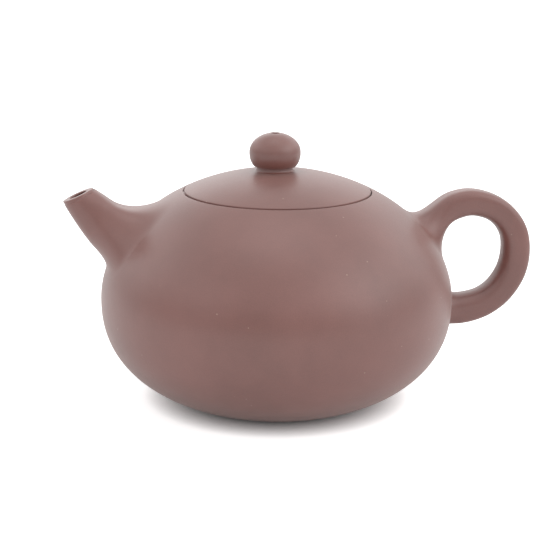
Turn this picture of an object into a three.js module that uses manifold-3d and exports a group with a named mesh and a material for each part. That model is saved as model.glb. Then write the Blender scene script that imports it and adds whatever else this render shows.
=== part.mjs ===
// A small teapot of unglazed purple clay: a flattened ball with a flush lid let into the mouth, a short
// upright spout and a ring handle.
//
// It is built as a potter luts it together: the wall stands on the base disc, the mouth ring closes its top,
// and the spout, the strainer and the handle are joined on from outside and inside. The lid is a domed plate
// with a locating flange below it and a round knob on top, pierced by one vent hole.
//
// Millimetres, +Z up. The origin is the centre of the resting face, on the axis of the lid. The spout points
// along -X and the handle along +X.

import * as THREE from "three";
import { mergeVertices } from "three/addons/utils/BufferGeometryUtils.js";
import Module from "manifold-3d";

const wasm = await Module();
wasm.setup();

// ---------------------------------------------------------------- driving dimensions

const BELLY_R = 52.5; // widest radius of the ball
const BELLY_Z = 30.8; // its height above the table
const UPPER_HALF = 38.3; // from the belly to the top of the lid
const LOWER_HALF = 34.0; // from the belly to where the lower curve would close
const UPPER_POWER = 1.96; // very nearly an ellipse above the belly
const LOWER_POWER = 2.3; // a fuller curve below it
const WALL = 2.6; // clay thickness
const LUTE_GAP = 0.3; // slip layer between pieces joined on a curved face

const BASE_THICK = 3.0;
const BASE_EDGE = 0.5; // chamfer where the base meets the table

const MOUTH_FOOT_Z = 58.0; // where the mouth ring stands on the wall
const MOUTH_BORE_R = 22.4;
const MOUTH_LIP_BELOW = 3.6; // depth of the bore below the seat
const LID_R = 27.55;
const LID_CLEARANCE = 0.35; // radial gap of the lid in its rebate
const LID_RIM = 2.1; // thickness of the lid at its edge
const SEAT_CLEARANCE = 0.1; // the lid's underside above its seat
const EDGE = 0.35; // softened clay edges

const FLANGE_R = 21.9;
const FLANGE_THICK = 2.3;
const FLANGE_DEPTH = 6.4;
const LID_THICK = 3.1; // at the centre of the lid

const KNOB_SHIFT = -0.85; // the knob and its vent sit a little towards the spout
const KNOB_R = 7.45;
const KNOB_FOOT_R = 5.6;
const KNOB_BELLY_ABOVE_FOOT = 5.3;
const KNOB_LOWER_HALF = 7.8;
const KNOB_UPPER_HALF = 5.85;
const VENT_R = 1.2;
const VENT_FLARE = 0.5;

// The spout's line starts beyond its mouth, which is a slanting cut across it, and ends inside the pot.
const SPOUT_START = new THREE.Vector3(-60.8, 0, 64.5);
const SPOUT_BEND = new THREE.Vector3(-52.5, 0, 54.6);
const SPOUT_END = new THREE.Vector3(-36, 0, 40.5);
const SPOUT_MOUTH = new THREE.Vector3(-59.0, 0, 62.4);
const SPOUT_MOUTH_TILT = 25.4 * (Math.PI / 180); // how far the mouth looks outwards from straight up
const SPOUT_R = 3.63; // outside radius where the line starts
const SPOUT_TAPER = 6.86; // how much it grows along the line
const SPOUT_FLARE_FROM = 0.38; // share of the line where its upper side starts to spread over the shoulder
const SPOUT_FLARE = 61;
const SPOUT_BORE_R = 2.05;
const SPOUT_BORE_TAPER = 5.4;

const OUTFLOW_R = 6.4; // hole in the wall behind the spout
const STRAINER_R = 8.6;
const STRAINER_THICK = 1.6;
const STRAINER_HOLE_R = 0.85;
const STRAINER_ROWS = [1, 6, 11]; // holes from the crown of the strainer outwards
const STRAINER_ROW_ANGLE = 27 * (Math.PI / 180);

// Centre line of the handle in the XZ plane from its upper root to its lower one, with its thickness there.
const HANDLE_STATIONS = [
  [40.3, 45.5, 15.0],
  [46.4, 51.3, 11.4],
  [51.3, 56.0, 9.0],
  [57.8, 58.2, 8.35],
  [64.2, 57.3, 8.1],
  [69.0, 54.0, 8.2],
  [72.3, 49.0, 8.7],
  [73.4, 43.0, 9.2],
  [72.3, 36.8, 9.4],
  [69.0, 31.3, 9.3],
  [64.6, 27.7, 9.3],
  [59.5, 25.8, 9.4],
  [53.5, 25.2, 9.5],
  [47.0, 25.0, 10.5],
];
const HANDLE_WIDTH_SHARE = 1.04; // width across the ring as a share of its thickness
const HANDLE_SECTION_POWER = 2.6; // a little squarer than an ellipse

// ---------------------------------------------------------------- fineness

const ROUND_STEPS = 48; // segments round the pot's axis
const WALL_ROWS = 14;
const LID_ROWS = 6;
const KNOB_STEPS = 24;
const KNOB_ROWS = 5;
const SPOUT_SIDES = 20;
const SPOUT_STEPS = 12;
const HANDLE_SIDES = 16;
const HANDLE_STEPS = 34;
const STRAINER_SIDES = 16;
const STRAINER_STEPS = 10;
const VENT_SIDES = 12;
const HOLE_SIDES = 6;

// ---------------------------------------------------------------- the ball's outline

const point = (r, z) => new THREE.Vector2(r, z);

// Half the ball's height on the side of the belly where z lies. A positive inset gives the inside of a wall,
// a negative one a ball a little larger all over.
function half(z, inset) {
  return (z < BELLY_Z ? LOWER_HALF : UPPER_HALF) - inset;
}

// Radius of the ball at height z.
function ballRadius(z, inset = 0) {
  const power = z < BELLY_Z ? LOWER_POWER : UPPER_POWER;
  const share = Math.min(1, Math.abs(z - BELLY_Z) / half(z, inset));
  return (BELLY_R - inset) * (1 - share ** power) ** (1 / power);
}

// Height of the ball's upper surface at radius r.
function ballTop(r) {
  return BELLY_Z + UPPER_HALF * (1 - (r / BELLY_R) ** UPPER_POWER) ** (1 / UPPER_POWER);
}

// Outline points from height z0 up to height z1, closer together where the curve runs flat.
function ballOutline(z0, z1, rows, inset = 0) {
  const angleAt = (z) => Math.asin(THREE.MathUtils.clamp((z - BELLY_Z) / half(z, inset), -1, 1));
  return Array.from({ length: rows + 1 }, (_, i) => {
    const angle = THREE.MathUtils.lerp(angleAt(z0), angleAt(z1), i / rows);
    const z = BELLY_Z + Math.sin(angle) * half(BELLY_Z + angle, inset);
    return point(ballRadius(z, inset), z);
  });
}

// ---------------------------------------------------------------- solids

// A body of revolution about Z. The outline runs upwards on its outside and back down on its inside.
function turned(outline, steps = ROUND_STEPS) {
  const closed = outline[0].x === 0 ? outline : [...outline, outline[0].clone()];
  return new THREE.LatheGeometry(closed, steps).rotateX(Math.PI / 2);
}

function solidOf(geometry) {
  const bare = geometry.index ? geometry.toNonIndexed() : geometry.clone();
  bare.deleteAttribute("normal");
  bare.deleteAttribute("uv");
  const merged = mergeVertices(bare, 1e-4);
  return new wasm.Manifold(
    new wasm.Mesh({
      numProp: 3,
      vertProperties: new Float32Array(merged.attributes.position.array),
      triVerts: new Uint32Array(merged.index.array),
    }),
  );
}

function geometryOf(solid) {
  const mesh = solid.getMesh();
  const geometry = new THREE.BufferGeometry();
  geometry.setAttribute("position", new THREE.BufferAttribute(new Float32Array(mesh.vertProperties), 3));
  geometry.setIndex(new THREE.BufferAttribute(new Uint32Array(mesh.triVerts), 1));
  return geometry;
}

// A closed bar along a curve in the XZ plane: the unit cylinder's rows are carried to the curve, and each is
// given its own half thickness in the plane, half width across it, and shift off the curve in the plane.
function bar(curve, steps, sides, sectionAt, power = 2) {
  const geometry = new THREE.CylinderGeometry(1, 1, 1, sides, steps);
  const position = geometry.attributes.position;
  const across = new THREE.Vector3(0, -1, 0);
  const bulge = (v) => Math.sign(v) * Math.abs(v) ** (2 / power);
  for (let i = 0; i < position.count; i++) {
    const t = 0.5 - position.getY(i);
    const spin = Math.atan2(position.getZ(i), position.getX(i));
    const rim = Math.hypot(position.getX(i), position.getZ(i)) > 0.5 ? 1 : 0;
    const { thick, wide, shift = 0 } = sectionAt(t);
    const inPlane = new THREE.Vector3().crossVectors(across, curve.getTangent(t)).normalize();
    const p = curve
      .getPoint(t)
      .addScaledVector(inPlane, shift + rim * bulge(Math.cos(spin)) * thick)
      .addScaledVector(across, rim * bulge(Math.sin(spin)) * wide);
    position.setXYZ(i, p.x, p.y, p.z);
  }
  return geometry;
}

// A round pin along a direction, centred on a point.
function pin(centre, direction, radius, length, sides) {
  const turn = new THREE.Quaternion().setFromUnitVectors(new THREE.Vector3(0, 1, 0), direction);
  return new THREE.CylinderGeometry(radius, radius, length, sides)
    .applyQuaternion(turn)
    .translate(centre.x, centre.y, centre.z);
}

// ---------------------------------------------------------------- places worked out from the above

const LID_TOP_EDGE_Z = ballTop(LID_R);
const LID_UNDER_Z = LID_TOP_EDGE_Z - LID_RIM;
const SEAT_Z = LID_UNDER_Z - SEAT_CLEARANCE;
const REBATE_R = LID_R + LID_CLEARANCE;
const KNOB_FOOT_Z = ballTop(KNOB_FOOT_R);
const SPOUT_LINE = new THREE.QuadraticBezierCurve3(SPOUT_START, SPOUT_BEND, SPOUT_END);

// Where the spout's centre line crosses the inside of the wall, and the wall's normal there.
function outflow() {
  let t = 0;
  let p = SPOUT_LINE.getPoint(t);
  while (-p.x > ballRadius(p.z, WALL)) {
    t += 0.002;
    p = SPOUT_LINE.getPoint(t);
  }
  const step = 0.5;
  const slope = (ballRadius(p.z + step, WALL) - ballRadius(p.z - step, WALL)) / (2 * step);
  return { centre: p, inward: new THREE.Vector3(1, 0, slope).normalize(), along: SPOUT_LINE.getTangent(t) };
}
const OUTFLOW = outflow();

// ---------------------------------------------------------------- the pot

function baseDisc() {
  return turned([
    point(0, 0),
    point(ballRadius(0) - BASE_EDGE, 0),
    ...ballOutline(BASE_EDGE / 2, BASE_THICK, 3),
    point(0, BASE_THICK),
  ]);
}

function bodyWall() {
  const outside = ballOutline(BASE_THICK, MOUTH_FOOT_Z, WALL_ROWS);
  const inside = ballOutline(BASE_THICK, MOUTH_FOOT_Z, WALL_ROWS, WALL).reverse();
  const wall = solidOf(turned([...outside, ...inside]));
  const hole = solidOf(pin(OUTFLOW.centre, OUTFLOW.along, OUTFLOW_R, 8 * WALL, SPOUT_SIDES));
  return geometryOf(wall.subtract(hole));
}

function mouthRing() {
  const rebateTop = ballTop(REBATE_R);
  return turned([
    ...ballOutline(MOUTH_FOOT_Z, ballTop(REBATE_R + EDGE), 4),
    point(REBATE_R, rebateTop - EDGE),
    point(REBATE_R, SEAT_Z),
    point(MOUTH_BORE_R + EDGE, SEAT_Z),
    point(MOUTH_BORE_R, SEAT_Z - EDGE),
    point(MOUTH_BORE_R, SEAT_Z - MOUTH_LIP_BELOW + EDGE),
    point(MOUTH_BORE_R + EDGE, SEAT_Z - MOUTH_LIP_BELOW),
    point(ballRadius(MOUTH_FOOT_Z, WALL) - 2, SEAT_Z - MOUTH_LIP_BELOW),
    point(ballRadius(MOUTH_FOOT_Z, WALL), MOUTH_FOOT_Z),
  ]);
}

// The whole ball, slightly proud of the wall: what a piece joined on from outside must stay clear of.
function ballTool() {
  const outline = ballOutline(0, BELLY_Z + UPPER_HALF + LUTE_GAP - 0.01, 3 * WALL_ROWS, -LUTE_GAP);
  return solidOf(turned([point(0, 0), ...outline, point(0, BELLY_Z + UPPER_HALF + LUTE_GAP)]));
}

function spout(ball) {
  const outside = (t) => {
    const radius = SPOUT_R + SPOUT_TAPER * t;
    const spread = (SPOUT_FLARE * Math.max(0, t - SPOUT_FLARE_FROM) ** 2) / 2;
    return { thick: radius + spread, wide: radius + spread, shift: spread };
  };
  const inside = (t) => {
    const radius = SPOUT_BORE_R + SPOUT_BORE_TAPER * t;
    return { thick: radius, wide: radius };
  };
  const outer = solidOf(bar(SPOUT_LINE, SPOUT_STEPS, SPOUT_SIDES, outside));
  const bore = solidOf(bar(SPOUT_LINE, SPOUT_STEPS, SPOUT_SIDES, inside));
  const cut = new THREE.BoxGeometry(4 * BELLY_R, 4 * BELLY_R, 4 * BELLY_R)
    .translate(0, 0, 2 * BELLY_R)
    .rotateY(-SPOUT_MOUTH_TILT)
    .translate(SPOUT_MOUTH.x, SPOUT_MOUTH.y, SPOUT_MOUTH.z);
  return geometryOf(outer.subtract(ball).subtract(bore).subtract(solidOf(cut)));
}

// A pierced half ball over the outflow, on the inside of the wall.
function strainer() {
  const { centre, inward } = OUTFLOW;
  const shell = (radius) => {
    const sphere = new THREE.SphereGeometry(radius, STRAINER_SIDES, STRAINER_STEPS);
    return solidOf(sphere.translate(centre.x, centre.y, centre.z));
  };
  const cavity = ballOutline(BASE_THICK, MOUTH_FOOT_Z, WALL_ROWS, WALL + LUTE_GAP);
  const inside = solidOf(turned([point(0, BASE_THICK), ...cavity, point(0, MOUTH_FOOT_Z)]));
  let dome = shell(STRAINER_R).subtract(shell(STRAINER_R - STRAINER_THICK)).intersect(inside);
  const side = new THREE.Vector3(0, 1, 0);
  STRAINER_ROWS.forEach((count, row) => {
    for (let i = 0; i < count; i++) {
      const direction = inward
        .clone()
        .applyAxisAngle(side, row * STRAINER_ROW_ANGLE)
        .applyAxisAngle(inward, (i / count) * 2 * Math.PI);
      const at = centre.clone().addScaledVector(direction, STRAINER_R);
      dome = dome.subtract(solidOf(pin(at, direction, STRAINER_HOLE_R, 4 * STRAINER_THICK, HOLE_SIDES)));
    }
  });
  return geometryOf(dome);
}

function handle(ball) {
  const line = new THREE.CatmullRomCurve3(HANDLE_STATIONS.map(([x, z]) => new THREE.Vector3(x, 0, z)));
  const last = HANDLE_STATIONS.length - 1;
  const thicknessAt = (t) => {
    const i = Math.min(last - 1, Math.floor(t * last));
    return THREE.MathUtils.lerp(HANDLE_STATIONS[i][2], HANDLE_STATIONS[i + 1][2], t * last - i);
  };
  const section = (t) => {
    const thick = thicknessAt(t) / 2;
    return { thick, wide: thick * HANDLE_WIDTH_SHARE };
  };
  return geometryOf(
    solidOf(bar(line, HANDLE_STEPS, HANDLE_SIDES, section, HANDLE_SECTION_POWER)).subtract(ball),
  );
}

// ---------------------------------------------------------------- the lid

function lidDome() {
  const inFlange = FLANGE_R - FLANGE_THICK;
  const outside = ballOutline(ballTop(LID_R - EDGE), KNOB_FOOT_Z, LID_ROWS);
  const hollowRise = KNOB_FOOT_Z - LID_THICK - LID_UNDER_Z;
  const hollow = [];
  for (let i = 0; i <= LID_ROWS; i++) {
    const share = i / LID_ROWS;
    hollow.push(point(inFlange * share, LID_UNDER_Z + hollowRise * (1 - share ** 2)));
  }
  const dome = turned([
    ...hollow,
    point(LID_R - EDGE, LID_UNDER_Z),
    point(LID_R, LID_UNDER_Z + EDGE),
    point(LID_R, LID_TOP_EDGE_Z - EDGE),
    ...outside,
    point(0, KNOB_FOOT_Z),
  ]);
  const up = new THREE.Vector3(0, 0, 1);
  const vent = pin(new THREE.Vector3(KNOB_SHIFT, 0, KNOB_FOOT_Z), up, VENT_R, 4 * LID_THICK, VENT_SIDES);
  return geometryOf(solidOf(dome).subtract(solidOf(vent)));
}

function lidFlange() {
  const low = LID_UNDER_Z - FLANGE_DEPTH;
  const inner = FLANGE_R - FLANGE_THICK;
  return turned([
    point(FLANGE_R - EDGE, low),
    point(FLANGE_R, low + EDGE),
    point(FLANGE_R, LID_UNDER_Z),
    point(inner, LID_UNDER_Z),
    point(inner, low + EDGE),
    point(inner + EDGE, low),
  ]);
}

function lidKnob() {
  const bellyZ = KNOB_FOOT_Z + KNOB_BELLY_ABOVE_FOOT;
  const topZ = bellyZ + KNOB_UPPER_HALF * Math.sqrt(1 - ((VENT_R + VENT_FLARE) / KNOB_R) ** 2);
  const outline = [point(KNOB_FOOT_R, KNOB_FOOT_Z)];
  for (let i = 1; i <= 2 * KNOB_ROWS; i++) {
    const low = i <= KNOB_ROWS;
    const from = low ? KNOB_FOOT_Z : bellyZ;
    const to = low ? bellyZ : topZ;
    const share = low ? i / KNOB_ROWS : Math.sin(((i - KNOB_ROWS) / KNOB_ROWS) * (Math.PI / 2));
    const z = from + (to - from) * share;
    const half = low ? KNOB_LOWER_HALF : KNOB_UPPER_HALF;
    outline.push(point(KNOB_R * Math.sqrt(1 - ((z - bellyZ) / half) ** 2), z));
  }
  const vent = [point(VENT_R, topZ - VENT_FLARE), point(VENT_R, KNOB_FOOT_Z)];
  return turned([...outline, ...vent], KNOB_STEPS).translate(KNOB_SHIFT, 0, 0);
}

// ---------------------------------------------------------------- assembly

const clay = (color, roughness) => new THREE.MeshStandardMaterial({ color, roughness, metalness: 0 });
const BODY_CLAY = clay(0x7a5751, 0.62);
const INNER_CLAY = clay(0x6d4c46, 0.75);
const LID_CLAY = clay(0x7c5953, 0.62);

function node(name, geometry, material) {
  const mesh = new THREE.Mesh(geometry, material);
  mesh.name = name;
  return mesh;
}

const ball = ballTool();
const pot = new THREE.Group();
pot.add(
  node("base_disc", baseDisc(), BODY_CLAY),
  node("body_wall", bodyWall(), BODY_CLAY),
  node("mouth_ring", mouthRing(), BODY_CLAY),
  node("strainer", strainer(), INNER_CLAY),
  node("spout", spout(ball), BODY_CLAY),
  node("handle", handle(ball), BODY_CLAY),
);

const lid = new THREE.Group();
lid.add(
  node("lid_dome", lidDome(), LID_CLAY),
  node("lid_flange", lidFlange(), INNER_CLAY),
  node("lid_knob", lidKnob(), LID_CLAY),
);

const teapot = new THREE.Group();
teapot.add(pot, lid);

export default teapot;
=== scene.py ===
"""A small teapot of unglazed purple clay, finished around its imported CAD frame.

The pot, its spout, its handle and its lid are drawn here as fine skins over the CAD solids. The roots of
the spout and the handle are lofted onto the formula of the ball, so they leave it smoothly, as clay does
where it was luted on and smoothed. Lengths are in millimetres; meshes are made in metres.
"""

import math

import bpy
import numpy as np
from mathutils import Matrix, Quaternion, Vector


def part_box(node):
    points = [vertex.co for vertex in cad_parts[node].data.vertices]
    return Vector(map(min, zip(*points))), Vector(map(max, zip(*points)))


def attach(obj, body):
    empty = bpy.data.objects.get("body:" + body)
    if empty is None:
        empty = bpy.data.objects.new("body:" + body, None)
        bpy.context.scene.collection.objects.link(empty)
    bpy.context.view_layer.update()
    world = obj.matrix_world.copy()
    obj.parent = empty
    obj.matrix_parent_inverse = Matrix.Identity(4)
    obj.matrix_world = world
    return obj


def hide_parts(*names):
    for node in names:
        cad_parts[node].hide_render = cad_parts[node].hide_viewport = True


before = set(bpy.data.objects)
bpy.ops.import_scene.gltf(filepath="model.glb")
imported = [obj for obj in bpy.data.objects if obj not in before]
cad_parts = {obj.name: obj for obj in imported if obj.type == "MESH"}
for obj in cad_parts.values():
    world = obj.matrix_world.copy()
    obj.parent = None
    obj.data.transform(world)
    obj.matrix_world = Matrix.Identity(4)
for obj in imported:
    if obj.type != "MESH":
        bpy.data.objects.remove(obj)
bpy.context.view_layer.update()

MM = 0.001
TAU = 2 * math.pi
ACROSS = np.array((0.0, 1.0, 0.0))  # square to the plane that the spout and the handle lie in


def unit(v):
    return v / np.linalg.norm(v)


def cad_box(node):
    """The CAD node's box in millimetres."""
    low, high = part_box(node)
    return np.array(low) / MM, np.array(high) / MM


# ---------------------------------------------------------------- sizes taken from the frame

INSIDE_FLOOR_Z = cad_box("base_disc")[1][2]
WALL_TOP_Z = cad_box("body_wall")[1][2]
DOME_LOW, DOME_HIGH = cad_box("lid_dome")
FLANGE_LOW, FLANGE_HIGH = cad_box("lid_flange")
KNOB_LOW, KNOB_HIGH = cad_box("lid_knob")

# ---------------------------------------------------------------- the ball

# Two half ovals, above and below the belly, with the CAD's own driving values.
BELLY_R = 52.5
BELLY_Z = 30.8
UPPER_HALF = 38.3
LOWER_HALF = 34.0
UPPER_POWER = 1.96
LOWER_POWER = 2.3
WALL = 2.6
BALL_MIDDLE = np.array((0.0, 0.0, BELLY_Z))


def ball_half(z):
    return UPPER_HALF if z >= BELLY_Z else LOWER_HALF


def ball_power(z):
    return UPPER_POWER if z >= BELLY_Z else LOWER_POWER


def ball_radius(z, inset=0.0):
    """Radius of the ball at height z."""
    power = ball_power(z)
    share = min(1.0, abs(z - BELLY_Z) / (ball_half(z) - inset))
    return (BELLY_R - inset) * (1 - share**power) ** (1 / power)


def ball_top(r):
    """Height of the ball's upper surface at radius r."""
    return BELLY_Z + UPPER_HALF * (1 - (r / BELLY_R) ** UPPER_POWER) ** (1 / UPPER_POWER)


def ball_outline(z0, z1, rows, inset=0.0):
    """Outline points from height z0 to height z1, closer together where the curve runs flat."""
    def angle_at(z):
        return math.asin(max(-1.0, min(1.0, (z - BELLY_Z) / (ball_half(z) - inset))))

    points = []
    for angle in np.linspace(angle_at(z0), angle_at(z1), rows):
        half = UPPER_HALF if angle >= 0 else LOWER_HALF
        z = BELLY_Z + math.sin(angle) * (half - inset)
        points.append((ball_radius(z, inset), z))
    return points


def onto_ball(p):
    """The point of the ball's surface on the ray from the ball's middle through p."""
    power = ball_power(p[2])
    radial = math.hypot(p[0], p[1]) / BELLY_R
    rise = abs(p[2] - BELLY_Z) / ball_half(p[2])
    scale = (radial**power + rise**power) ** (-1 / power)
    return BALL_MIDDLE + (p - BALL_MIDDLE) * scale


def ball_normal(p):
    """The ball's outward normal at a point of its surface."""
    power = ball_power(p[2])
    r = math.hypot(p[0], p[1])
    out = (r / BELLY_R) ** (power - 1) / BELLY_R
    up = (abs(p[2] - BELLY_Z) / ball_half(p[2])) ** (power - 1) / ball_half(p[2])
    return unit(np.array((out * p[0] / r, out * p[1] / r, math.copysign(up, p[2] - BELLY_Z))))


# ---------------------------------------------------------------- mesh helpers

ROUND = 256  # columns round the axis of a turned piece
ARC_STEPS = 6
DRILL_SIDES = 64


def corner_arc(before, here, after, radius):
    """Points of the arc that rounds the corner at here."""
    a, b = unit(before - here), unit(after - here)
    half_angle = math.acos(max(-1.0, min(1.0, float(a @ b)))) / 2
    back = radius / math.tan(half_angle)
    centre = here + unit(a + b) * radius / math.sin(half_angle)
    start, end = here + a * back - centre, here + b * back - centre
    return [centre + unit(start * (1 - t) + end * t) * radius for t in np.linspace(0, 1, ARC_STEPS + 1)]


def rounded(corners):
    """A line through corner points (r, z, rounding), with an arc of that radius at each inner corner."""
    places = [np.array(corner[:2], float) for corner in corners]
    points = [places[0]]
    for i in range(1, len(corners) - 1):
        radius = corners[i][2]
        if radius == 0:
            points.append(places[i])
        else:
            points += corner_arc(places[i - 1], places[i], places[i + 1], radius)
    points.append(places[-1])
    return [tuple(p) for p in points]


def make_piece(name, vertices, faces, body, material, replaces):
    """A smooth mesh object, given in millimetres, that rides on a body and stands for CAD nodes."""
    mesh = bpy.data.meshes.new(name)
    mesh.from_pydata([tuple(v) for v in np.asarray(vertices) * MM], [], faces)
    mesh.validate()
    mesh.shade_smooth()
    mesh.materials.append(material)
    piece = bpy.data.objects.new(name, mesh)
    bpy.context.scene.collection.objects.link(piece)
    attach(piece, body)
    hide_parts(*replaces)


def grid_faces(rows, columns, close_rows=False):
    """Quads of a grid whose columns close into rings."""
    faces = []
    for i in range(rows if close_rows else rows - 1):
        low, high = i * columns, ((i + 1) % rows) * columns
        for j in range(columns):
            k = (j + 1) % columns
            faces.append((low + j, low + k, high + k, high + j))
    return faces


def plain_object(vertices, faces):
    """An object used only while a piece is made."""
    mesh = bpy.data.meshes.new("blank")
    mesh.from_pydata([tuple(v) for v in vertices], [], faces)
    blank = bpy.data.objects.new("blank", mesh)
    bpy.context.scene.collection.objects.link(blank)
    return blank


def rod(place, along, radius, reach):
    """Vertices and faces of a straight rod, reaching that far to both sides of the place."""
    side = unit(np.cross(along, ACROSS))
    up = np.cross(side, along)
    vertices = []
    for end in (-reach, reach):
        for a in np.arange(DRILL_SIDES) * TAU / DRILL_SIDES:
            vertices.append(place + along * end + side * radius * math.cos(a) + up * radius * math.sin(a))
    ends = [tuple(range(DRILL_SIDES))[::-1], tuple(range(DRILL_SIDES, 2 * DRILL_SIDES))]
    return vertices, grid_faces(2, DRILL_SIDES) + ends


def drilled(vertices, faces, place, along, radius, reach):
    """The same body with a round hole along a line, reaching that far to both sides of the place."""
    body, drill = plain_object(vertices, faces), plain_object(*rod(place, along, radius, reach))
    cutter = body.modifiers.new("hole", "BOOLEAN")
    cutter.solver = "EXACT"
    cutter.object = drill
    result = body.evaluated_get(bpy.context.evaluated_depsgraph_get()).to_mesh()
    new_vertices = [tuple(v.co) for v in result.vertices]
    new_faces = [tuple(p.vertices) for p in result.polygons]
    bpy.data.objects.remove(body)
    bpy.data.objects.remove(drill)
    return new_vertices, new_faces


def turned(outline):
    """Vertices and faces of a body of revolution.

    The outline closes on itself, or starts and ends on the axis.
    """
    on_axis = outline[0][0] == 0
    rings = outline[1:-1] if on_axis else outline
    angles = np.arange(ROUND) * TAU / ROUND
    vertices = [(r * math.cos(a), r * math.sin(a), z) for r, z in rings for a in angles]
    faces = grid_faces(len(rings), ROUND, close_rows=not on_axis)
    if on_axis:
        first, last = len(vertices), len(vertices) + 1
        vertices += [(0, 0, outline[0][1]), (0, 0, outline[-1][1])]
        top = (len(rings) - 1) * ROUND
        for j in range(ROUND):
            k = (j + 1) % ROUND
            faces.append((first, k, j))
            faces.append((last, top + j, top + k))
    return vertices, faces


# ---------------------------------------------------------------- clay

# Scales are per metre, so a scale of 5200 makes grains about 0.2 mm across. A bump is a strength and a
# distance in metres.
GRAIN_SCALE = 5200.0
TOOTH_SCALE = 1500.0
MOTTLE_SCALE = 38.0
GRIT_SCALE = 620.0
RING_SCALE = 900.0
RING_STRETCH = (0.02, 0.02, 1.0)
GRAIN_SHADES = [(0.3, (0.82, 0.8, 0.8)), (0.7, (1.12, 1.14, 1.14))]
GRAIN_SHARE = 0.55
GRIT_SIZE = 0.14  # share of a cell
GRIT_RARITY = 0.985  # share of the cells that stay empty
GRIT_SHARE = 0.4
GRIT_COLOUR = (0.5, 0.36, 0.3, 1.0)
SHINE_SPREAD = 0.05
GRAIN_BUMP = (0.25, 0.00005)
TOOTH_BUMP = (0.22, 0.00008)
RING_BUMP_DISTANCE = 0.0001
SHEEN_TINT = (1.0, 0.94, 0.92, 1.0)


# The colour sockets of Blender's Mix node, whose number and colour sockets share their names.
MIX_FIRST = 6
MIX_SECOND = 7
MIX_RESULT = 2


class Nodes:
    """Short ways to make and join the shader nodes of a material or a world."""

    def __init__(self, owner, shader):
        owner.use_nodes = True
        self.owner = owner
        self.tree = owner.node_tree
        self.shader = self.tree.nodes[shader]

    def add(self, kind, **settings):
        node = self.tree.nodes.new(kind)
        for key, value in settings.items():
            setattr(node, key, value)
        return node

    def join(self, source, target):
        self.tree.links.new(source, target)

    def feed(self, socket, value):
        """Joins another node's socket to this one, or sets it to a constant."""
        if isinstance(value, bpy.types.NodeSocket):
            self.join(value, socket)
        else:
            socket.default_value = value

    def noise(self, vector, scale, detail, roughness=0.5):
        node = self.add("ShaderNodeTexNoise")
        node.inputs["Scale"].default_value = scale
        node.inputs["Detail"].default_value = detail
        node.inputs["Roughness"].default_value = roughness
        self.join(vector, node.inputs["Vector"])
        return node.outputs["Fac"]

    def ramp(self, factor, stops):
        node = self.add("ShaderNodeValToRGB")
        ramp = node.color_ramp
        while len(ramp.elements) < len(stops):
            ramp.elements.new(0.5)
        for element, (place, colour) in zip(ramp.elements, stops):
            element.position = place
            element.color = (*colour, 1.0)
        self.join(factor, node.inputs["Fac"])
        return node.outputs["Color"]

    def mix(self, factor, first, second, blend="MIX"):
        node = self.add("ShaderNodeMix", data_type="RGBA", blend_type=blend)
        self.feed(node.inputs["Factor"], factor)
        self.feed(node.inputs[MIX_FIRST], first)
        self.feed(node.inputs[MIX_SECOND], second)
        return node.outputs[MIX_RESULT]

    def maths(self, operation, first, second):
        node = self.add("ShaderNodeMath", operation=operation)
        self.feed(node.inputs[0], first)
        self.feed(node.inputs[1], second)
        return node.outputs[0]

    def bump(self, height, strength, distance, normal=None):
        node = self.add("ShaderNodeBump")
        node.inputs["Strength"].default_value = strength
        node.inputs["Distance"].default_value = distance
        self.join(height, node.inputs["Height"])
        if normal is not None:
            self.join(normal, node.inputs["Normal"])
        return node.outputs["Normal"]


def surface(name):
    return Nodes(bpy.data.materials.new(name), "Principled BSDF")


def add_grit(n, place, colour):
    """The colour with rare pale specks in it."""
    grit = n.add("ShaderNodeTexVoronoi")
    grit.inputs["Scale"].default_value = GRIT_SCALE
    n.join(place, grit.inputs["Vector"])
    near = n.maths("LESS_THAN", grit.outputs["Distance"], GRIT_SIZE)
    chosen = n.add("ShaderNodeSeparateColor")
    n.join(grit.outputs["Color"], chosen.inputs["Color"])
    rare = n.maths("GREATER_THAN", chosen.outputs["Red"], GRIT_RARITY)
    speck = n.maths("MULTIPLY", n.maths("MULTIPLY", near, rare), GRIT_SHARE)
    return n.mix(speck, colour, GRIT_COLOUR)


def rib_rings(n, place):
    stretch = n.add("ShaderNodeMapping")
    stretch.inputs["Scale"].default_value = RING_STRETCH
    n.join(place, stretch.inputs["Vector"])
    return n.noise(stretch.outputs["Vector"], RING_SCALE, 2.0)


def clay(name, dark, light, roughness, ring_strength):
    """Fired clay: mottled and finely grained, with pale grit and the faint rings that a potter's rib leaves.

    dark and light are the two ends of its mottle.
    """
    n = surface(name)
    place = n.add("ShaderNodeTexCoord").outputs["Object"]

    mottle = n.noise(place, MOTTLE_SCALE, 4.0, 0.6)
    grain = n.noise(place, GRAIN_SCALE, 2.0)
    tooth = n.noise(place, TOOTH_SCALE, 3.0)

    colour = n.ramp(mottle, [(0.3, dark), (0.7, light)])
    colour = n.mix(GRAIN_SHARE, colour, n.ramp(grain, GRAIN_SHADES), "MULTIPLY")
    n.join(add_grit(n, place, colour), n.shader.inputs["Base Color"])

    shine = n.add("ShaderNodeMapRange")
    shine.inputs["To Min"].default_value = roughness - SHINE_SPREAD
    shine.inputs["To Max"].default_value = roughness + SHINE_SPREAD
    n.join(tooth, shine.inputs["Value"])
    n.join(shine.outputs["Result"], n.shader.inputs["Roughness"])

    normal = n.bump(grain, *GRAIN_BUMP)
    normal = n.bump(tooth, *TOOTH_BUMP, normal)
    normal = n.bump(rib_rings(n, place), ring_strength, RING_BUMP_DISTANCE, normal)
    n.join(normal, n.shader.inputs["Normal"])

    n.shader.inputs["IOR"].default_value = 1.5
    n.shader.inputs["Specular IOR Level"].default_value = 1.0
    n.shader.inputs["Sheen Weight"].default_value = 0.24
    n.shader.inputs["Sheen Roughness"].default_value = 0.45
    n.shader.inputs["Sheen Tint"].default_value = SHEEN_TINT
    return n.owner


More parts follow.
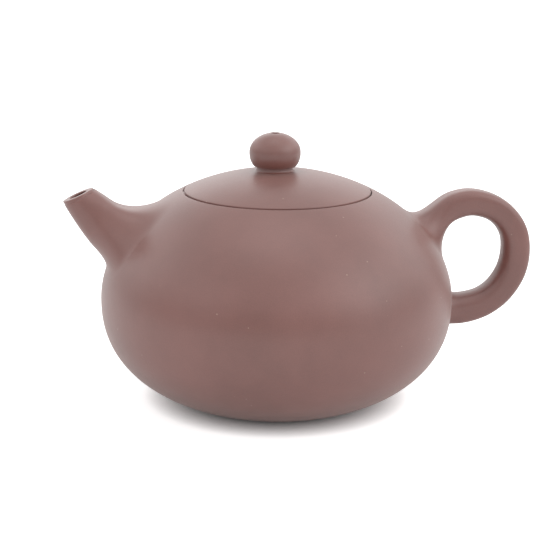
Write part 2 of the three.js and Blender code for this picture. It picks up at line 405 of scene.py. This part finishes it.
BODY_CLAY = clay("body_clay", (0.172, 0.0636, 0.051), (0.218, 0.0845, 0.0697), 0.38, 0.12)
LID_CLAY = clay("lid_clay", (0.176, 0.0663, 0.0537), (0.223, 0.0882, 0.0724), 0.38, 0.1)
INNER_CLAY = clay("inner_clay", (0.144, 0.051, 0.0394), (0.185, 0.07, 0.0563), 0.6, 0.5)

# ---------------------------------------------------------------- the pot

LID_CAD_GAP = 0.35  # radial gap round the lid in CAD
LID_GAP = 0.33  # and as it is drawn here
REBATE_R = DOME_HIGH[0] + LID_CAD_GAP
LID_R = REBATE_R - LID_GAP
SEAT_Z = DOME_LOW[2] - 0.1
BORE_R = 22.4
BORE_LIP_Z = SEAT_Z - 3.6
MOUTH_EDGE_ROUNDING = 0.3
SEAT_CORNER_ROUNDING = 0.25
BORE_ROUNDING = 0.6
LIP_STEP = 1.2  # how far the lip's underside stops short of the wall
LIP_ROUNDING = 1.0
MOUTH_MARGIN = 1.1  # where the ball's outline stops beside the rebate
CAVITY_TOP_Z = WALL_TOP_Z - 0.6

BASE_ROUNDING = 1.2
SKIRT_START_Z = 0.48
WALL_START_Z = 1.44
FOOT_R = ball_radius(0) - BASE_ROUNDING
FOOT_SHARES = (0.3, 0.6, 0.9, 0.97, 1.0)
FLOOR_CORNER_R = ball_radius(INSIDE_FLOOR_Z, WALL) - 0.6
FLOOR_CORNER_ROUNDING = 4.0
FLOOR_CORNER_RISE = 1.6
FLOOR_RINGS = (10, 4)

SKIRT_ROWS = 3
OUTER_ROWS = 110
INNER_ROWS = 60


def mouth_outline(outer_edge, inner_edge):
    """Over the rim, down the rebate, across the seat and down the bore to the inside of the wall."""
    return rounded([
        (*outer_edge, 0),
        (REBATE_R, ball_top(REBATE_R), MOUTH_EDGE_ROUNDING),
        (REBATE_R, SEAT_Z, SEAT_CORNER_ROUNDING),
        (BORE_R, SEAT_Z, BORE_ROUNDING),
        (BORE_R, BORE_LIP_Z, BORE_ROUNDING),
        (inner_edge[0] - LIP_STEP, BORE_LIP_Z, LIP_ROUNDING),
        (*inner_edge, 0),
    ])


def pot_outline():
    """From the middle of the resting face, up the outside, over the mouth and down the inside."""
    skirt = ball_outline(SKIRT_START_Z, BASE_ROUNDING, SKIRT_ROWS)
    outside = ball_outline(WALL_START_Z, ball_top(REBATE_R + MOUTH_MARGIN), OUTER_ROWS)
    inside = ball_outline(INSIDE_FLOOR_Z + FLOOR_CORNER_RISE, CAVITY_TOP_Z, INNER_ROWS, WALL)[::-1]
    mouth = mouth_outline(outside[-1], inside[0])
    floor_corner = rounded([
        (*inside[-1], 0),
        (FLOOR_CORNER_R, INSIDE_FLOOR_Z, FLOOR_CORNER_ROUNDING),
        (FLOOR_RINGS[0], INSIDE_FLOOR_Z, 0),
    ])
    return [
        (0, 0),
        *[(FOOT_R * share, 0) for share in FOOT_SHARES],
        *skirt,
        *outside[:-1],
        *mouth[:-1],
        *inside[:-1],
        *floor_corner,
        (FLOOR_RINGS[1], INSIDE_FLOOR_Z),
        (0, INSIDE_FLOOR_Z),
    ]


SPOUT_ROOT = (-45.2, 0.0, 48.4)
OUTFLOW_R = 6.4


def make_pot():
    vertices, faces = turned(pot_outline())
    root = onto_ball(np.array(SPOUT_ROOT))
    vertices, faces = drilled(vertices, faces, root, ball_normal(root), OUTFLOW_R, 3 * WALL)
    replaced = ("base_disc", "body_wall", "mouth_ring")
    make_piece("pot_skin", vertices, faces, "pot", BODY_CLAY, replaced)


# ---------------------------------------------------------------- tubes luted onto the ball

SIDES = 96
ANGLES = np.arange(SIDES) * TAU / SIDES


def bezier(points, t):
    a, b, c = (np.array(p, float) for p in points)
    return a * (1 - t) ** 2 + b * 2 * t * (1 - t) + c * t**2


def bezier_tangent(points, t):
    a, b, c = (np.array(p, float) for p in points)
    return unit((b - a) * (1 - t) + (c - b) * t)


def soft_join(p0, t0, p1, t1, s):
    """A curve from p0, leaving along t0, to p1, arriving along t1, that runs straight at both ends."""
    return (
        p0 * (1 - 10 * s**3 + 15 * s**4 - 6 * s**5)
        + t0 * (s - 6 * s**3 + 8 * s**4 - 3 * s**5)
        + p1 * (10 * s**3 - 15 * s**4 + 6 * s**5)
        + t1 * (-4 * s**3 + 7 * s**4 - 3 * s**5)
    )


def flat_to(normal, direction):
    """The part of a direction that runs along a surface with that normal."""
    return unit(direction - normal * (direction @ normal))


ROOT_STEPS = 24
SINK = ((0.5, 0.004), (1.0, 0.016), (1.6, 0.05), (2.3, 0.5))  # how the root's edge slips under the ball


def root_rows(before, ring, centre, first, shape):
    """Rows that carry a tube's last ring onto the ball, where they flare out and slip just under it.

    before is the ring ahead of the last one, and first is the direction in which the root's angle 0 points.
    shape gives, for an angle round the root, how far the root reaches over the ball and how strongly the
    row holds to the tube's direction and to the ball's.
    """
    rows = [[] for _ in range(ROOT_STEPS + len(SINK))]
    for j, start in enumerate(ring):
        angle = TAU * j / len(ring)
        reach, hold, spread = shape(angle)
        away = first * math.cos(angle) + ACROSS * math.sin(angle)
        foot = onto_ball(centre + away * reach)
        normal = ball_normal(foot)
        outwards = flat_to(normal, away)
        span = np.linalg.norm(foot - start)
        leaving = unit(start - before[j]) * span * hold
        landing = outwards * span * spread
        for i in range(ROOT_STEPS):
            rows[i].append(soft_join(start, leaving, foot, landing, (i + 1) / ROOT_STEPS))
        for i, (further, deeper) in enumerate(SINK):
            rows[ROOT_STEPS + i].append(onto_ball(foot + outwards * further) - normal * deeper)
    return rows


def round_root(angle, side, above, below, below_power=2):
    """A measure of a root that has these values at its sides, above and below."""
    over, under = max(0.0, -math.cos(angle)), max(0.0, math.cos(angle))
    return side + (above - side) * over**2 + (below - side) * under**below_power


def make_tube(name, rows, replaced):
    vertices = [p for row in rows for p in row]
    faces = grid_faces(len(rows), SIDES)
    make_piece(name, vertices, faces, "pot", BODY_CLAY, replaced)


# Along the spout, t runs from 0 above the mouth to 1 inside the pot.
SPOUT_LINE = [(-60.25, 0, 64.98), (-53.1, 0, 54.05), (-36, 0, 40.5)]
SPOUT_MOUTH_AT = 0.105  # share of the line where the mouth cuts it
SPOUT_FLANK_AT = SPOUT_MOUTH_AT + 0.035  # where the lip's rounding gives way to the plain tube
SPOUT_LEAVE_OVER = 0.34  # where the root begins to flare, above and at the sides
SPOUT_LEAVE_UNDER = 0.47  # and underneath
SPOUT_BORE_END = 0.7
SPOUT_R = 4.1
SPOUT_TAPER = 5.56
SPOUT_BORE_R = 2.05
SPOUT_BORE_TAPER = 5.4
SPOUT_MOUTH_NORMAL = unit(np.array((-0.40, 0.05, 0.91)))
SPOUT_LIP_DEPTH = 1.0
SPOUT_LIP_INNER_ROUNDING = 0.35
SPOUT_LIP_OUTER_ROUNDING = 0.3
SPOUT_LEAN_LENGTH = 0.22
SPOUT_TOP_FLATNESS = 1.6
BORE_ROWS = 30
FLANK_ROWS = 28


def squared(angle, power):
    """Direction cosines of an oval that is drawn out towards its four corners."""
    c, s = math.cos(angle), math.sin(angle)
    scale = (abs(c) ** power + abs(s) ** power) ** (-1 / power)
    return c * scale, s * scale


def spout_point(t, angle, radius, depth=0.0):
    """A point of the spout, which is flattened on top.

    Near the mouth it leans into the plane of the mouth. depth carries it that far down the spout.
    """
    along = bezier_tangent(SPOUT_LINE, t)
    past_mouth = (t - SPOUT_MOUTH_AT) / SPOUT_LEAN_LENGTH
    lean = max(0.0, 1 - past_mouth) ** 2
    flatness = SPOUT_TOP_FLATNESS * max(0.0, -math.cos(angle)) * max(0.0, min(1.0, past_mouth))
    c, s = squared(angle, 2 + flatness)
    offset = np.cross(ACROSS, along) * radius * c + ACROSS * radius * s
    slide = -(offset @ SPOUT_MOUTH_NORMAL) / (along @ SPOUT_MOUTH_NORMAL)
    return bezier(SPOUT_LINE, t) + offset + along * (depth + slide * lean)


def spout_ring(t, radius, depth=0.0):
    return [spout_point(t, angle, radius, depth) for angle in ANGLES]


def spout_radius(t):
    return SPOUT_R + SPOUT_TAPER * t


def spout_bore_radius(t):
    return SPOUT_BORE_R + SPOUT_BORE_TAPER * t


def spout_flank(share):
    """A row of the spout's outside, that share of the way from the lip to where the root begins to flare."""
    row = []
    for angle in ANGLES:
        under = max(0.0, math.cos(angle)) ** 2
        leave = SPOUT_LEAVE_OVER + (SPOUT_LEAVE_UNDER - SPOUT_LEAVE_OVER) * under
        t = SPOUT_FLANK_AT + (leave - SPOUT_FLANK_AT) * share
        row.append(spout_point(t, angle, spout_radius(t)))
    return row


def spout_root_shape(angle):
    """Broad and hollow over the shoulder, soft at the sides, tight underneath."""
    reach = round_root(angle, side=16.5, above=21.4, below=11.8)
    hold = round_root(angle, side=0.6, above=0.85, below=0.85)
    spread = round_root(angle, side=0.6, above=1.1, below=0.95)
    return reach, hold, spread


def spout_lip():
    """The lip's section: radius, and depth below the plane of the mouth."""
    bore, outer = spout_bore_radius(SPOUT_MOUTH_AT), spout_radius(SPOUT_MOUTH_AT)
    return rounded([
        (bore, SPOUT_LIP_DEPTH, 0),
        (bore, 0, SPOUT_LIP_INNER_ROUNDING),
        (outer, 0, SPOUT_LIP_OUTER_ROUNDING),
        (outer, SPOUT_LIP_DEPTH, 0),
    ])


def make_spout():
    """Up the bore, over the lip, down the outside and out over the ball."""
    bore_places = np.linspace(SPOUT_BORE_END, SPOUT_FLANK_AT, BORE_ROWS)
    rows = [spout_ring(t, spout_bore_radius(t)) for t in bore_places]
    rows += [spout_ring(SPOUT_MOUTH_AT, radius, depth) for radius, depth in spout_lip()]
    rows += [spout_flank(share) for share in np.linspace(0, 1, FLANK_ROWS)]
    root = onto_ball(np.array(SPOUT_ROOT))
    along = bezier_tangent(SPOUT_LINE, SPOUT_LEAVE_UNDER)
    first = flat_to(ball_normal(root), np.cross(ACROSS, along))
    rows += root_rows(rows[-2], rows[-1], root, first, spout_root_shape)
    make_tube("spout_skin", rows, ("spout",))


# The handle's middle line as x and z, from the upper root round the ring to the lower root, and its
# thickness at the same points. Along it, t runs from 0 to 1.
HANDLE_LINE = [
    (40.3, 45.5), (46.4, 51.3), (51.3, 56.0), (57.8, 58.2), (64.3, 57.1), (69.2, 53.95), (72.5, 49.0),
    (73.4, 43.0), (72.3, 36.8), (69.0, 31.3), (64.6, 27.7), (59.5, 25.85), (53.5, 25.2), (47.0, 25.0),
]
HANDLE_THICK = [14.0, 10.6, 8.6, 8.1, 7.8, 7.8, 8.15, 8.45, 8.55, 8.5, 8.6, 8.95, 9.4, 10.4]
HANDLE_WIDTH_SHARE = 1.04
HANDLE_OUTER_POWER = 3.8  # nearly flat outside, and rounder towards the ring's middle
HANDLE_INNER_POWER = 2.5
HANDLE_UPPER_LEAVE = 0.2  # where the roots begin to flare
HANDLE_LOWER_LEAVE = 0.885
HANDLE_UPPER_ROOT = (45.6, 0.0, 48.9)
HANDLE_LOWER_ROOT = (51.9, 0.0, 25.2)
LOWER_ROOT_REACH = (6.2, 6.4)  # along the handle's plane and across it
HANDLE_ROWS = 150
ROOT_LEAD = 0.005  # how far back along the line a root takes its direction from
TANGENT_STEP = 0.002


def spline(values, t):
    """A Catmull-Rom value at t from 0 to 1."""
    values = np.asarray(values, float)
    last = len(values) - 1
    i = min(last - 1, int(t * last))
    s = t * last - i
    a, b = values[max(0, i - 1)], values[i]
    c, d = values[i + 1], values[min(last, i + 2)]
    square = (2 * a - 5 * b + 4 * c - d) * s**2
    cube = (3 * b - a - 3 * c + d) * s**3
    return 0.5 * (2 * b + (c - a) * s + square + cube)


def handle_point(t):
    x, z = spline(HANDLE_LINE, t)
    return np.array((x, 0.0, z))


def handle_along(t):
    """The way the middle line runs at t."""
    return unit(handle_point(t + TANGENT_STEP) - handle_point(t - TANGENT_STEP))


def handle_ring(t):
    """The handle's section at t."""
    side = np.cross(ACROSS, handle_along(t))
    half = spline(HANDLE_THICK, t) / 2
    ring = []
    for angle in ANGLES:
        inner = (1 + math.cos(angle)) / 2
        c, s = squared(angle, HANDLE_OUTER_POWER + (HANDLE_INNER_POWER - HANDLE_OUTER_POWER) * inner)
        ring.append(handle_point(t) + side * half * c + ACROSS * half * HANDLE_WIDTH_SHARE * s)
    return ring


def upper_root_shape(angle):
    """Broad and hollow above and at the sides, close underneath."""
    reach = round_root(angle, side=13.0, above=11.0, below=8.2, below_power=5)
    hold = round_root(angle, side=0.9, above=0.9, below=1.25)
    spread = round_root(angle, side=1.1, above=1.1, below=0.4, below_power=4)
    return reach, hold, spread


def lower_root_shape(angle):
    """A small oval."""
    along, across = LOWER_ROOT_REACH
    reach = 1 / math.hypot(math.cos(angle) / along, math.sin(angle) / across)
    return reach, 0.8, 0.6


def handle_root(t, lead, place, shape):
    """The root that begins at t and leaves in the direction from the ring at t less the lead."""
    root = onto_ball(np.array(place))
    first = flat_to(ball_normal(root), np.cross(ACROSS, handle_along(t)))
    return root_rows(handle_ring(t - lead), handle_ring(t), root, first, shape)


def make_handle():
    rows = handle_root(HANDLE_UPPER_LEAVE, -ROOT_LEAD, HANDLE_UPPER_ROOT, upper_root_shape)[::-1]
    rows += [handle_ring(t) for t in np.linspace(HANDLE_UPPER_LEAVE, HANDLE_LOWER_LEAVE, HANDLE_ROWS)]
    rows += handle_root(HANDLE_LOWER_LEAVE, ROOT_LEAD, HANDLE_LOWER_ROOT, lower_root_shape)
    make_tube("handle_skin", rows, ("handle",))


# ---------------------------------------------------------------- the lid

LID_THICK = 3.1
LID_EDGE_ROUNDING = 0.3
LID_UNDER_ROUNDING = 0.35
LID_EDGE_STRIP = 1.2  # breadth of the rim that the edge's outline covers
LID_STRIP_STEP = 0.4
LID_UNDER_START = 1.0  # how far outside the hollow the underside's outline starts
VENT_R = 1.2
VENT_FADE_R = 5.0  # outside this the lid stays centred on the pot

FLANGE_THICK = 2.3
FLANGE_INNER_R = FLANGE_HIGH[0] - FLANGE_THICK
FLANGE_ROUNDING = 0.8
FLANGE_CLEARANCE = 0.05  # keeps the turning dome off the flange

KNOB_SKIN = 0.12  # how far the drawn knob stands over the CAD's
KNOB_SHIFT = (KNOB_LOW[0] + KNOB_HIGH[0]) / 2
KNOB_R = (KNOB_HIGH[0] - KNOB_LOW[0]) / 2 + KNOB_SKIN
KNOB_BELLY_Z = 74.4
KNOB_CUT_Z = 70.25
KNOB_CUT_STEP = 0.3
KNOB_CUT_ROUNDING = 0.2
KNOB_CUT_INSET = 0.25
KNOB_UPPER_HALF = 5.75
KNOB_LOWER_HALF = 6.4
KNOB_LOWER_POWER = 2.3
KNOB_VENT_EDGE = 0.55  # breadth of the vent's soft edge
KNOB_VENT_RISE = 0.05
KNOB_VENT_ROUNDING = 0.4
KNOB_VENT_DEPTH = 2.0
NECK_R = 5.35
NECK_FILLET = 0.9
SKIRT_R = 7.6
SKIRT_SINK = 0.02
KNOB_ROOT_SINK = 0.5

DOME_ROWS = 60
HOLLOW_ROWS = 30
KNOB_LOWER_ROWS = 18
KNOB_UPPER_ROWS = 30


def lid_dome_outline():
    """Under the rim, round its edge, in over the top to the vent, and out under the hollow."""
    under = DOME_LOW[2]
    strip_r = LID_R - LID_EDGE_STRIP
    edge = rounded([
        (FLANGE_INNER_R + LID_UNDER_START, under, 0),
        (LID_R, under, LID_UNDER_ROUNDING),
        (LID_R, ball_top(LID_R), LID_EDGE_ROUNDING),
        (strip_r, ball_top(strip_r), 0),
    ])
    outside = [(r, ball_top(r)) for r in np.linspace(strip_r - LID_STRIP_STEP, VENT_R, DOME_ROWS)]
    rise = ball_top(VENT_R) - LID_THICK - under
    hollow = []
    for r in np.linspace(VENT_R, FLANGE_INNER_R, HOLLOW_ROWS):
        hollow.append((r, under + rise * (1 - (r / FLANGE_INNER_R) ** 2)))
    return [*edge, *outside, *hollow]


def move_vent(vertices):
    """Carries the middle of the lid, with its vent, under the knob."""
    moved = []
    for x, y, z in vertices:
        share = (VENT_FADE_R - math.hypot(x, y)) / (VENT_FADE_R - VENT_R)
        moved.append((x + KNOB_SHIFT * max(0.0, min(1.0, share)), y, z))
    return moved


def lid_flange_outline():
    low, high = FLANGE_LOW[2], FLANGE_HIGH[2] - FLANGE_CLEARANCE
    outer_r = FLANGE_HIGH[0]
    corners = rounded([
        (FLANGE_INNER_R, high, 0),
        (FLANGE_INNER_R, low, FLANGE_ROUNDING),
        (outer_r, low, FLANGE_ROUNDING),
        (outer_r, high, 0),
        (FLANGE_INNER_R, high, 0),
    ])
    return corners[:-1]


def knob_lower():
    """The knob's outline from its cut foot to just below the belly."""
    points = []
    for z in np.linspace(KNOB_CUT_Z + KNOB_CUT_STEP, KNOB_BELLY_Z, KNOB_LOWER_ROWS)[:-1]:
        share = (KNOB_BELLY_Z - z) / KNOB_LOWER_HALF
        points.append((KNOB_R * (1 - share**KNOB_LOWER_POWER) ** (1 / KNOB_LOWER_POWER), z))
    return points


def knob_upper():
    """From the belly to the edge of the vent."""
    last = math.acos((VENT_R + KNOB_VENT_EDGE) / KNOB_R)
    points = []
    for a in np.linspace(0, last, KNOB_UPPER_ROWS):
        points.append((KNOB_R * math.cos(a), KNOB_BELLY_Z + KNOB_UPPER_HALF * math.sin(a)))
    return points


def knob_outline():
    """A flattened ball on a short neck, with the vent sunk into its crown."""
    skirt_z = ball_top(SKIRT_R)
    lower, upper = knob_lower(), knob_upper()
    crown_z = upper[-1][1]
    neck = rounded([
        (SKIRT_R, skirt_z - SKIRT_SINK, 0),
        (NECK_R, ball_top(NECK_R), NECK_FILLET),
        (NECK_R, KNOB_CUT_Z, KNOB_CUT_ROUNDING),
        (lower[0][0] - KNOB_CUT_INSET, KNOB_CUT_Z, KNOB_CUT_ROUNDING),
        (*lower[0], 0),
    ])
    vent = rounded([
        (*upper[-1], 0),
        (VENT_R, crown_z + KNOB_VENT_RISE, KNOB_VENT_ROUNDING),
        (VENT_R, crown_z - KNOB_VENT_DEPTH, 0),
    ])
    root_z = skirt_z - KNOB_ROOT_SINK
    return [(SKIRT_R, root_z), *neck, *lower[1:], *upper[:-1], *vent, (VENT_R, root_z)]


def seat_knob(vertices):
    """Moves the knob to its place and lays its skirt on the lid."""
    moved = []
    for x, y, z in vertices:
        if z < KNOB_CUT_Z - KNOB_CUT_ROUNDING:
            z += ball_top(math.hypot(x + KNOB_SHIFT, y)) - ball_top(math.hypot(x, y))
        moved.append((x + KNOB_SHIFT, y, z))
    return moved


def make_lid():
    vertices, faces = turned(lid_dome_outline())
    make_piece("lid_dome_skin", move_vent(vertices), faces, "lid", LID_CLAY, ("lid_dome",))
    vertices, faces = turned(knob_outline())
    make_piece("lid_knob_skin", seat_knob(vertices), faces, "lid", LID_CLAY, ("lid_knob",))
    vertices, faces = turned(lid_flange_outline())
    make_piece("lid_flange_skin", vertices, faces, "lid_carrier", INNER_CLAY, ("lid_flange",))


def finish_strainer():
    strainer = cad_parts["strainer"]
    strainer.data.materials.clear()
    strainer.data.materials.append(INNER_CLAY)


# ---------------------------------------------------------------- studio

CAMERA_PLACE = (-60.7, -428.0, 147.8)
CAMERA_TARGET = (-0.5, 0.1, 37.0)
CAMERA_ROLL = 0.0096
CAMERA_LENS = 97.3
CAMERA_SENSOR = 36.0

FLOOR_HALF = 4000.0
FLOOR_COLOUR = (0.9, 0.9, 0.9, 1.0)
FLOOR_GLOW = 0.62  # lifts the paper towards white, as it is in the overexposed photograph
# how far from the pot the painted shade in the paper's glow reaches, in millimetres
FLOOR_SHADE_REACH = 5.5
WHITE = (1.0, 1.0, 1.0, 1.0)

# Soft lights of the tent: azimuth in degrees (0 is -Y, the camera's side, and 90 is +X), height in degrees
# and strength.
TENT_FOCUS = 8.0
TENT_LIGHTS = {
    "overhead": (0, 90, 1.7),
    "front": (0, 30, 0.95),
    "right front": (60, 30, 2.15),
    "right back": (120, 28, 1.55),
    "back": (180, 20, 1.75),
    "left back": (240, 28, 1.5),
    "left front": (300, 30, 1.15),
}


def make_camera():
    data = bpy.data.cameras.new("camera")
    data.lens = CAMERA_LENS
    data.sensor_width = CAMERA_SENSOR
    data.clip_start = 0.01
    data.clip_end = 20.0
    camera = bpy.data.objects.new("camera", data)
    place, target = Vector(CAMERA_PLACE) * MM, Vector(CAMERA_TARGET) * MM
    roll = Quaternion((0, 0, 1), CAMERA_ROLL)
    camera.location = place
    camera.rotation_mode = "QUATERNION"
    camera.rotation_quaternion = (target - place).to_track_quat("-Z", "Y") @ roll
    bpy.context.scene.collection.objects.link(camera)
    bpy.context.scene.camera = camera


def floor_paper():
    """White paper with a painted glow that only the camera sees, cut back by painted shade where the pot
    stands close over it.
    """
    n = surface("floor_paper")
    n.shader.inputs["Base Color"].default_value = FLOOR_COLOUR
    n.shader.inputs["Roughness"].default_value = 0.9
    n.shader.inputs["Specular IOR Level"].default_value = 0.0
    n.shader.inputs["Emission Color"].default_value = WHITE
    # Painted shade: the glow dims wherever the pot stands within that reach of the paper.
    painted_shade_ao = n.add("ShaderNodeAmbientOcclusion", samples=8)
    painted_shade_ao.inputs["Distance"].default_value = FLOOR_SHADE_REACH * MM
    seen = n.add("ShaderNodeLightPath").outputs["Is Camera Ray"]
    glow = n.maths("MULTIPLY", n.maths("MULTIPLY", painted_shade_ao.outputs["AO"], seen), FLOOR_GLOW)
    n.join(glow, n.shader.inputs["Emission Strength"])
    return n.owner


def make_floor():
    half = FLOOR_HALF * MM
    corners = [(-half, -half, 0), (half, -half, 0), (half, half, 0), (-half, half, 0)]
    mesh = bpy.data.meshes.new("floor")
    mesh.from_pydata(corners, [], [(0, 1, 2, 3)])
    mesh.materials.append(floor_paper())
    floor = bpy.data.objects.new("floor", mesh)
    bpy.context.scene.collection.objects.link(floor)


def tent_lobe(n, direction, azimuth, height, strength):
    """One soft light of the tent, brightest where it stands."""
    a, e = math.radians(azimuth), math.radians(height)
    dot = n.add("ShaderNodeVectorMath", operation="DOT_PRODUCT")
    n.join(direction, dot.inputs[0])
    dot.inputs[1].default_value = (math.sin(a) * math.cos(e), -math.cos(a) * math.cos(e), math.sin(e))
    facing = n.maths("MAXIMUM", dot.outputs["Value"], 0.0)
    return n.maths("MULTIPLY", n.maths("POWER", facing, TENT_FOCUS), strength)


def make_world():
    """A tent with soft lights in it, plain white where the camera sees it."""
    world = bpy.data.worlds.new("studio")
    bpy.context.scene.world = world
    n = Nodes(world, "Background")
    direction = n.add("ShaderNodeTexCoord").outputs["Generated"]
    total = 0.0
    for light in TENT_LIGHTS.values():
        total = n.maths("ADD", total, tent_lobe(n, direction, *light))
    seen = n.add("ShaderNodeLightPath").outputs["Is Camera Ray"]
    n.join(n.maths("MAXIMUM", total, seen), n.shader.inputs["Strength"])
    n.shader.inputs["Color"].default_value = WHITE


def make_studio():
    make_camera()
    make_floor()
    make_world()
    settings = bpy.context.scene.view_settings
    settings.view_transform = "Standard"
    settings.look = "None"


make_pot()
make_spout()
make_handle()
make_lid()
finish_strainer()
make_studio()
